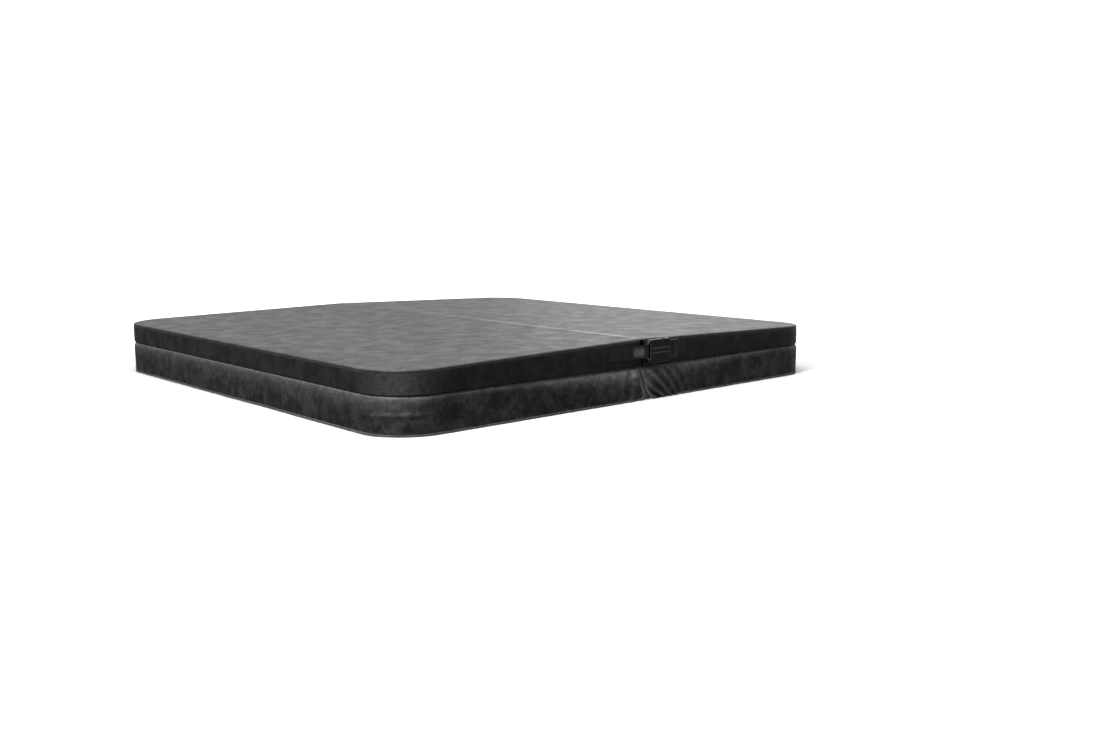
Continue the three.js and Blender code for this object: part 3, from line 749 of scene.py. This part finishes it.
def skirt(side):
    grid, fold_light = skirt_surface(side)
    grid = drape(grid, 1 - smoothstep(0.1, 0.5, SKIRT_SHARES))
    t = SKIRT_DEPTHS[:, None]
    # Painted highlight: the shoulder below the seam is painted paler, widest near the slit and past the
    # corners, with a thin bright line at its top away from the slit, and the corners paler too; the painted
    # light and shade of the folds is added, and the edges beside the slit are paler.
    ends = bell(TO_FOLD, 26 * MM)[None, :]
    beyond = smoothstep(CORNER_RUN - 150 * MM, CORNER_RUN, TO_FOLD)[None, :]  # from the corners on
    spread = (7 + 45 * NEAR_SLIT + 27 * beyond) * MM
    shoulder = 0.18 + (0.34 if side == "right" else 0.6) * NEAR_SLIT + 0.2 * beyond
    paleness = shoulder * bell(t - 6 * MM, spread) + 0.25 * ends
    paleness = paleness + 0.9 * (1 - NEAR_SLIT) * bell(t - 4 * MM, 3 * MM) + 0.12 * CORNER_HIGHLIGHT + fold_light
    obj = sheet(f"{side}_skirt_cloth", grid, SHEET, edge_away(side, len(t)), np.clip(paleness, 0, 1))
    place(obj, "skirt_vinyl", f"{side}_half", f"{side}_skirt")
    return grid


HEM_STOPS = np.array([0, 2.5, 5, 7.5]) * MM  # across the hem's tape, from the skirt's free edge
HEM_FOLD = 0.9 * MM  # thickness of the tape on each side of the skirt


def inward(lines):
    """Points at the hem's stops along each line (n, k, 3) that runs in from the free edge."""
    points = []
    for line in lines:
        along = np.concatenate([[0], np.cumsum(np.linalg.norm(np.diff(line, axis=0), axis=1))])
        points.append(np.stack([np.interp(HEM_STOPS, along, line[:, k]) for k in range(3)], axis=1))
    return np.array(points)


def hem_stops(grid):
    """The hem's stops down one slit edge from just below its top, along the foot and up the other edge."""
    first = 3
    stops = np.concatenate([
        inward(grid[first:-1, :6]), inward(grid[::-1][:8].transpose(1, 0, 2)),
        inward(grid[first:-1, ::-1][::-1, :6]),
    ])
    across = stops - stops[:, :1]
    for _ in range(3):  # eases the tape round the corners at the foot of the slit
        across[1:-1] = (across[:-2] + across[1:-1] * 2 + across[2:]) / 4
    return stops[:, :1] + across


def skirt_hem(side, grid):
    """The folded tape that binds the skirt's free edge, and its row of stitches."""
    stops = hem_stops(grid)
    edge = stops[:, 0]
    tangent = np.gradient(edge, axis=0)
    into = stops[:, -1] - edge
    out = np.cross(tangent, into)
    out /= np.linalg.norm(out, axis=1, keepdims=True)
    into /= np.linalg.norm(into, axis=1, keepdims=True)
    if out[0] @ edge_away(side, 1)[0, 0] < 0:
        out = -out
    lifts = (0.8, 1.0, 1.0, 0.5)  # of the tape's surface at each stop
    outer = [stops[:, i] + out * HEM_FOLD * lift for i, lift in enumerate(lifts)][::-1]
    inner = [stops[:, i] - out * (SHEET + HEM_FOLD * lift) for i, lift in enumerate(lifts)]
    rim = [edge - into * HEM_FOLD - out * SHEET * share for share in (0.1, 0.9)]
    obj = tube(f"{side}_hem_binding", np.stack(outer + rim + inner, axis=1), sharp=60)
    place(obj, "hem_tape", f"{side}_half", f"{side}_skirt_hem")
    line = stops[:, 2] + out * HEM_FOLD * 0.95
    place(stitching(f"{side}_hem_stitches", line, out), "hem_tape", f"{side}_half", look="thread")


def lip_stitches(side):
    """The row that sews the top panel's lip to the band."""
    height = top_height(EDGE_POINTS[:, 0])[None, :] - EDGE_ROLL - LIP * 0.5
    grid = edge_surface(side, np.full((1, len(EDGE_RUN)), 0.1 * MM), height, [FOLD_FACE])
    normals = edge_away(side, 1)[0]
    inside = slice(2, -2)
    obj = stitching(f"{side}_lip_stitches", grid[0][inside], normals[inside])
    place(obj, "top_vinyl", f"{side}_half", look="thread")


def underside(side):
    """The liner sheet under the slab, with a slight sag between its seams."""
    node_low, node_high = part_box(f"{side}_underside_liner")
    x, y, _ = panel_plan(FOLD_FACE)
    shrink = (HALF - SEAM_INSET + 1 * MM) / HALF
    grid = np.stack([SIDES[side] * np.maximum(x * shrink, FOLD_FACE), y * shrink, 0 * x], axis=2)
    edge = HALF - np.maximum(np.abs(x), np.abs(y))
    sag = smoothstep(20 * MM, 240 * MM, edge)
    grid[:, :, 2] += 0.6 * MM - 1.8 * MM * sag + 0.6 * MM * fractal(grid, 0.2, 80) * sag
    obj = sheet(f"{side}_liner_sheet", grid, node_high.z - node_low.z, [0, 0, -1])
    place(obj, "liner", f"{side}_half", f"{side}_underside_liner")


def fold_wall(side):
    """The vinyl wall that faces the other half across the fold."""
    sign = SIDES[side]
    ys = np.linspace(-HALF + 0.8 * MM, HALF - 0.8 * MM, 180)
    top = float(top_height(FOLD_FACE)) - EDGE_ROLL - 1 * MM
    zs = np.linspace(0.8 * MM, top, 12)
    Z, Y = np.meshgrid(zs, ys, indexing="ij")
    grid = np.stack([np.full_like(Y, sign * (FOLD_FACE + 0.7 * MM)), Y, Z], axis=2)
    pucker = 0.6 * MM * fractal(grid, 0.09, 90) + 0.4 * MM
    grid[:, :, 0] += sign * pucker * np.sin(np.pi * (Z - zs[0]) / (zs[-1] - zs[0]))
    obj = sheet(f"{side}_fold_skin", grid, SHEET, [-sign, 0, 0])
    place(obj, "side_vinyl", f"{side}_half", f"{side}_fold_wall")


# ---- The fold ----

def hinge_strip():
    """One vinyl strip over the fold, almost flat, with a painted highlight along its middle, where its vinyl
    is also smoother.
    """
    section = curve([
        [-HINGE_LEAF / MM, 0.15], [-22, 0.7], [-13, 0.95], [-6, 1.15], [0, 1.3], [6, 1.3], [13, 1.0],
        [22, 0.7], [HINGE_LEAF / MM, 0.15],
    ], 37) * MM
    ys = np.arange(-HALF + 1 * MM, HALF, STEP)
    X, Y = np.meshgrid(section[:, 0], ys, indexing="ij")
    grid = np.stack([X, Y, top_height(X) + section[:, 1:]], axis=2)
    ripple = 0.5 * MM * noise(grid, 0.06, 100) + 0.3 * MM * noise(grid, 0.02, 101)
    grid[:, :, 2] += ripple * bell(X, 14 * MM)
    end_drop = smoothstep(HALF - 14 * MM, HALF, np.abs(Y))
    grid[:, :, 2] -= 5 * MM * end_drop**2
    # Painted highlight along the middle of the strip, strongest in the front half and fading towards the
    # rear.
    along = (0.55 + 0.45 * smoothstep(-HALF, -0.95, Y)) * (1 - 0.75 * smoothstep(-0.3, 0.3, Y))
    along = along * (0.85 + 0.3 * noise(grid, 0.09, 102))
    paleness = 0.8 * bell(X + 2 * MM, 10 * MM) * along * (1 - end_drop)
    obj = sheet("hinge_strip", grid, 1.1 * MM, [0, 0, 1], paleness)
    place(obj, "top_vinyl", None, "left_hinge_leaf", "right_hinge_leaf", look="hinge_vinyl")
    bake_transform(obj)
    for side, row in (("left", 3), ("right", len(section) - 4)):
        line = grid[row] + [0, 0, 0.2 * MM]
        up = np.tile([0.0, 0.0, 1.0], (len(line), 1))
        stitches = stitching(f"{side}_hinge_stitches", line, up, height=0.25 * MM)
        place(stitches, "top_vinyl", f"{side}_half", look="pale_thread")


def heat_seal():
    """The foam-filled vinyl tube in the bottom of the fold, pinched a little along its length."""
    ys = np.arange(SEAL_LOW.y, SEAL_HIGH.y, STEP * 1.5)
    angles = np.linspace(0, 2 * math.pi, 28, endpoint=False)
    centre_x, width = (SEAL_LOW.x + SEAL_HIGH.x) / 2, (SEAL_HIGH.x - SEAL_LOW.x) / 2
    centre_z, height = SEAL_HIGH.z / 2, SEAL_HIGH.z / 2
    power = 0.55  # between an ellipse and a box
    across = np.sign(np.cos(angles)) * np.abs(np.cos(angles)) ** power * (width - 0.6 * MM)
    up = np.sign(np.sin(angles)) * np.abs(np.sin(angles)) ** power * (height - 0.6 * MM)
    rings = np.stack(np.broadcast_arrays(centre_x + across, ys[:, None], centre_z + up), axis=2)
    pinch = 1 + 0.05 * noise(rings * [0, 1, 0], 0.05, 110)[:, :, None]
    centre = np.array([centre_x, 0, centre_z])
    rings = centre + (rings - centre) * [1, 0, 1] * pinch + rings * [0, 1, 0]
    place(tube("fold_seal_tube", rings), "seal_vinyl", "left_half", "fold_heat_seal")


def zipper(side):
    """A zipper's tape and its row of moulded teeth, on the fold wall."""
    sign = SIDES[side]
    low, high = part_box(f"{side}_zipper_chain")
    z = (low.z + high.z) / 2
    back = max(abs(low.x), abs(high.x))
    front = min(abs(low.x), abs(high.x))
    ys = np.arange(low.y, high.y, STEP * 2)
    zs = np.linspace(low.z, high.z, 9)
    Z, Y = np.meshgrid(zs, ys, indexing="ij")
    grid = np.stack([np.full_like(Y, sign * (back - 0.5 * MM)), Y, Z], axis=2)
    grid[:, :, 0] -= sign * 0.12 * MM * noise(grid, 0.03, 120)
    obj = sheet(f"{side}_zipper_tape", grid, 0.5 * MM, [-sign, 0, 0])
    place(obj, "zipper_tape", f"{side}_half", f"{side}_zipper_chain")
    ends = (  # of each tooth: x, half its length and half its width
        (sign * (back - 0.4 * MM), 0.75 * TOOTH_PITCH / 2, 2.6 * MM),
        (sign * (front + 0.2 * MM), 0.5 * TOOTH_PITCH / 2, 2.0 * MM),
    )
    teeth = []
    for i, y in enumerate(np.arange(low.y + TOOTH_PITCH, high.y - TOOTH_PITCH, TOOTH_PITCH)):
        shift = (0.5 if i % 2 else -0.5) * MM
        block = [[x, y + a * length, z + shift + b * width] for x, length, width in ends
                 for a, b in ((-1, -1), (1, -1), (1, 1), (-1, 1))]
        teeth.append((np.array(block), BLOCK_FACES))
    place(islands(f"{side}_zipper_teeth", teeth), "zipper_tape", f"{side}_half", look="buckle_plastic")


def grommet(side, end):
    """A rolled brass eyelet in the liner."""
    node = f"{side}_drain_grommet_{end}"
    low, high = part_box(node)
    centre = (low + high) / 2
    outer = (high.x - low.x) / 2
    inner = EYELET_BORE
    section = [(outer, 0.3), (outer - 0.5 * MM, -0.4), (outer - 2.2 * MM, -1.0), (inner + 1.6 * MM, -1.3),
               (inner + 0.5 * MM, -0.8), (inner, 0.2), (inner, 3.2), (inner + 0.8 * MM, 3.4),
               (inner + 1 * MM, 0.6)]
    rings = np.array([[[centre.x + r * math.cos(angle), centre.y + r * math.sin(angle), z * MM]
                       for r, z in section] for angle in np.linspace(0, 2 * math.pi, 40, endpoint=False)])
    n, m = rings.shape[:2]
    index = np.arange(n * m).reshape(n, m)
    right, up = np.roll(index, -1, axis=0), np.roll(index, -1, axis=1)
    faces = np.stack([index, right, np.roll(right, -1, axis=1), up], axis=-1).reshape(-1, 4)
    obj = mesh_object(f"{side}_eyelet_{end}", rings, faces, sharp=60)
    outward(obj.data)
    place(obj, "grommet_brass", f"{side}_half", node)


# ---- Straps and buckles ----

WEB_LOW, WEB_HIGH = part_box("front_strap_webbing")
WEB_WIDTH = WEB_HIGH.z - WEB_LOW.z
WEB_Z = WEB_LOW.z + WEB_WIDTH / 2
WEB_THICK = 1.8 * MM
SEWN_INSET = 5 * MM  # from the webbing's edges to the box of stitches
EDGE_SAMPLES = 13


def ribbon(name, end, line, thickness=WEB_THICK):
    """Webbing along a line of (x, offset from the band) points, with soft woven edges."""
    tangent = np.gradient(line, axis=0)
    tangent /= np.linalg.norm(tangent, axis=1, keepdims=True)
    normal = np.stack([-tangent[:, 1], tangent[:, 0]], axis=1)
    across = np.linspace(-0.5, 0.5, EDGE_SAMPLES)
    thin = 1 - 0.45 * (np.abs(across) * 2) ** 12
    rings = []
    for p, n in zip(line, normal):
        top = [(p + n * thickness / 2 * k, a * WEB_WIDTH) for a, k in zip(across, thin)]
        bottom = [(p - n * thickness / 2 * k, a * WEB_WIDTH) for a, k in zip(across[::-1], thin[::-1])]
        rings.append([[q[0], ENDS[end] * (HALF + q[1]), WEB_Z + z] for q, z in top + bottom])
    return tube(name, rings, sharp=50)


def box_stitch(name, end, body, x0, x1, offset):
    """A sewn box with a cross in it."""
    y = ENDS[end] * (HALF + offset)
    z0, z1 = WEB_Z - WEB_WIDTH / 2 + SEWN_INSET, WEB_Z + WEB_WIDTH / 2 - SEWN_INSET
    corners = [np.array([x, y, z]) for x, z in ((x0, z0), (x1, z0), (x1, z1), (x0, z1))]
    up = np.array([0.0, ENDS[end], 0.0])
    pieces = []
    for a, b in ((0, 1), (1, 2), (2, 3), (3, 0), (0, 2), (1, 3)):
        length = np.linalg.norm(corners[b] - corners[a])
        for s in np.arange(1 * MM, length - 4 * MM, 5 * MM):
            way = (corners[b] - corners[a]) / length
            start = corners[a] + way * s
            pieces.append(thread(start, start + way * 3.6 * MM, up, 0.5 * MM))
    place(islands(name, pieces), "webbing", body, look="thread")


def anchor(end, side):
    """A doubled end of webbing, sewn to the band with a box and a cross."""
    node = f"{end}_anchor_patch_{side}"
    low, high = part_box(node)
    near, far = sorted(abs(y) - HALF for y in (low.y, high.y))
    xs = np.linspace(low.x, high.x, 18)
    lift = 0.4 * MM * np.sin(np.linspace(0, math.pi, len(xs)))
    line = np.stack([xs, (near + far) / 2 + lift], axis=1)
    obj = ribbon(f"{end}_{side}_anchor", end, line, thickness=far - near)
    place(obj, "webbing", f"{side}_half", node)
    box_stitch(f"{end}_{side}_anchor_stitches", end, f"{side}_half", low.x + SEWN_INSET, high.x - SEWN_INSET,
               far + 0.3 * MM)


def strap(end):
    """The strap: webbing that bows over the fold, wraps the housing's nose bar and is sewn back to itself."""
    low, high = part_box(f"{end}_strap_webbing")
    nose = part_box(f"{end}_buckle_housing")[0].x / MM
    hinge = low.x / MM
    line = curve([
        [hinge, 3.6], [hinge + 16, 4.6], [hinge + 50, 7.0], [nose - 24, 5.6], [nose - 4, 3.4],
        [nose + 9, 3.4], [nose + 12.8, 5.8], [nose + 12.8, 12.4], [nose + 9.5, 14.9], [nose, 15.0],
        [nose - 14, 12.2], [nose - 34, 10.4], [nose - 54, 10.2], [nose - 66, 9.6],
    ], 110) * MM
    obj = ribbon(f"{end}_strap_web", end, line)
    x = line[:, 0] / MM
    across = np.linspace(-1, 1, EDGE_SAMPLES)
    # Painted highlight: the stretch that bows out in front of the housing is painted paler, on both faces.
    bow_highlight = np.exp(-((x - nose + 38) / 25) ** 6)[:, None] * np.exp(-(across / 0.6) ** 4)
    paling = np.concatenate([bow_highlight, bow_highlight], axis=1)
    obj.data.attributes.new("paleness", "FLOAT", "POINT").data.foreach_set("value", paling.ravel())
    place(obj, "webbing", None, f"{end}_strap_webbing")
    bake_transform(obj)
    box_stitch(f"{end}_strap_stitches", end, f"{end}_strap", (nose - 60) * MM, (nose - 30) * MM, 11.6 * MM)


def tongue_web(end):
    low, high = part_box(f"{end}_tongue_webbing")
    offset = (abs(low.y) + abs(high.y)) / 2 - HALF
    xs = np.linspace(low.x, high.x, 24)
    line = np.stack([xs, np.full_like(xs, offset)], axis=1)
    place(ribbon(f"{end}_tongue_web", end, line), "webbing", f"{end}_tongue", f"{end}_tongue_webbing")


def moulded(node, name, body):
    """A moulded plastic part: the CAD solid with every edge softened."""
    obj = add_object(name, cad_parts[node].data.copy())
    remesh = obj.modifiers.new("remesh", "REMESH")
    remesh.mode = "VOXEL"
    remesh.voxel_size = VOXEL * 1
    remesh.use_smooth_shade = True
    soften = obj.modifiers.new("soften", "SMOOTH")
    soften.factor = 0.5
    soften.iterations = 6
    graph = bpy.context.evaluated_depsgraph_get()
    final = bpy.data.meshes.new_from_object(obj.evaluated_get(graph))
    obj.modifiers.clear()
    obj.data = final
    obj.data.polygons.foreach_set("use_smooth", [True] * len(final.polygons))
    place(obj, "buckle_plastic", body, node)


# ---- Assembly ----

for side in SIDES:
    top_panel(side)
    side_band(side)
    skirt_hem(side, skirt(side))
    lip_stitches(side)
    underside(side)
    fold_wall(side)
    zipper(side)
    for end in ENDS:
        grommet(side, end)

hinge_strip()
heat_seal()

for end in ENDS:
    for side in SIDES:
        anchor(end, side)
    strap(end)
    tongue_web(end)
    moulded(f"{end}_buckle_housing", f"{end}_housing", f"{end}_strap")
    moulded(f"{end}_buckle_tongue", f"{end}_tongue", f"{end}_tongue")

KEPT = {
    "foam_core": "foam", "channel": "galvanised_steel", "vapour_film": "film",
    "zipper_slider": "zipper_metal", "zipper_pull": "zipper_metal",
}
for side in SIDES:
    for part, slot in KEPT.items():
        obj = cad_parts[f"{side}_{part}"]
        obj.data.materials.clear()
        obj.data.materials.append(MATERIALS[slot])
        if slot == "zipper_metal":
            bevel = obj.modifiers.new("edges", "BEVEL")
            bevel.width = 0.25 * MM
            bevel.segments = 2
            bevel.limit_method = "ANGLE"


# ---- Stage ----

def seen_by_camera(tree, shown, lighting):
    """Picks one shader for what the camera sees directly and another for the light that it gives off."""
    path = add(tree, "LightPath")
    mix = add(tree, "MixShader", {"Fac": path.outputs["Is Camera Ray"], 1: lighting, 2: shown})
    return mix.outputs["Shader"]


def floor():
    """A white floor just under the skirts, which throws little light back at the dark sides."""
    mat = bpy.data.materials.new("floor")
    mat.use_nodes = True
    tree = mat.node_tree
    where = add(tree, "NewGeometry").outputs["Position"]
    away = add(tree, "VectorMath", {0: where}, operation="LENGTH").outputs["Value"]
    # Painted shade: the glow fades out towards the cover, so the floor round its foot reads darker than
    # further off.
    glow = add(tree, "Emission", {"Strength": eased(tree, away, 1.0, 3.6, 0.03, 1.0)})
    pale = add(tree, "BsdfDiffuse", in_Color=(0.85, 0.85, 0.85, 1))
    white = add(tree, "AddShader", {0: glow.outputs["Emission"], 1: pale.outputs["BSDF"]})
    dim = add(tree, "BsdfDiffuse", in_Color=(0.16, 0.16, 0.16, 1))
    surface = seen_by_camera(tree, white.outputs["Shader"], dim.outputs["BSDF"])
    tree.links.new(surface, tree.nodes["Material Output"].inputs["Surface"])
    reach = 60
    z = cad_box[0][2] - 1 * MM
    mesh = bpy.data.meshes.new("floor")
    mesh.from_pydata([(-reach, -reach, z), (reach, -reach, z), (reach, reach, z), (-reach, reach, z)], [],
                     [(0, 1, 2, 3)])
    mesh.materials.append(mat)
    add_object("floor", mesh)


def sky():
    """A white backdrop to the camera; its light comes from overhead and behind, with a dark room in front."""
    world = bpy.data.worlds.new("studio")
    bpy.context.scene.world = world
    world.use_nodes = True
    tree = world.node_tree
    where = add(tree, "TexCoord").outputs["Generated"]
    towards = Vector((0.64, 0.5, 0.58)).normalized()
    facing = add(tree, "VectorMath", {0: where}, operation="DOT_PRODUCT")
    facing.inputs[1].default_value = towards
    strength = eased(tree, facing.outputs["Value"], -0.35, 0.9, 0.015, 0.88)
    lighting = add(tree, "Background", {"Strength": strength}, in_Color=(1, 1, 1, 1))
    shown = add(tree, "Background", in_Color=(1, 1, 1, 1), in_Strength=1.05)
    surface = seen_by_camera(tree, shown.outputs["Background"], lighting.outputs["Background"])
    tree.links.new(surface, tree.nodes["World Output"].inputs["Surface"])


def lamp(name, where, aim, size, power):
    light = bpy.data.lights.new(name, "AREA")
    light.shape = "DISK"
    light.size = size
    light.energy = power
    obj = add_object(name, light)
    obj.location = where
    obj.rotation_euler = (Vector(aim) - Vector(where)).to_track_quat("-Z", "Y").to_euler()


def stage():
    floor()
    sky()
    lamp("overhead", (-0.9, -1.25, 3.8), (0, 0, 0), 2.2, 104)
    lamp("near_left", (-4.5, -2.0, 4.2), (-0.9, -0.9, 0), 1.4, 270)
    lamp("behind", (7.3, 5.3, 2.6), (0.5, 0.2, 0), 4.5, 46)
    bpy.context.scene.view_settings.view_transform = "Standard"


def camera():
    """Standing off the near corner, a little above the cover, looking slightly down."""
    yaw, pitch, roll = math.radians(44.73), math.radians(8.17), math.radians(0.23)
    forward = Vector((math.sin(yaw) * math.cos(pitch), math.cos(yaw) * math.cos(pitch), -math.sin(pitch)))
    level = forward.cross(Vector((0, 0, 1))).normalized()
    head = level.cross(forward)
    right = math.cos(roll) * level + math.sin(roll) * head
    up = -math.sin(roll) * level + math.cos(roll) * head
    lens = bpy.data.cameras.new("camera")
    lens.lens = 34.8
    lens.shift_x = -0.0646
    lens.clip_end = 200
    cam = add_object("camera", lens)
    turned = Matrix((right, up, -forward)).transposed().to_4x4()
    cam.matrix_world = Matrix.Translation((-2.771, -3.758, 0.548)) @ turned
    bpy.context.scene.camera = cam


stage()
camera()
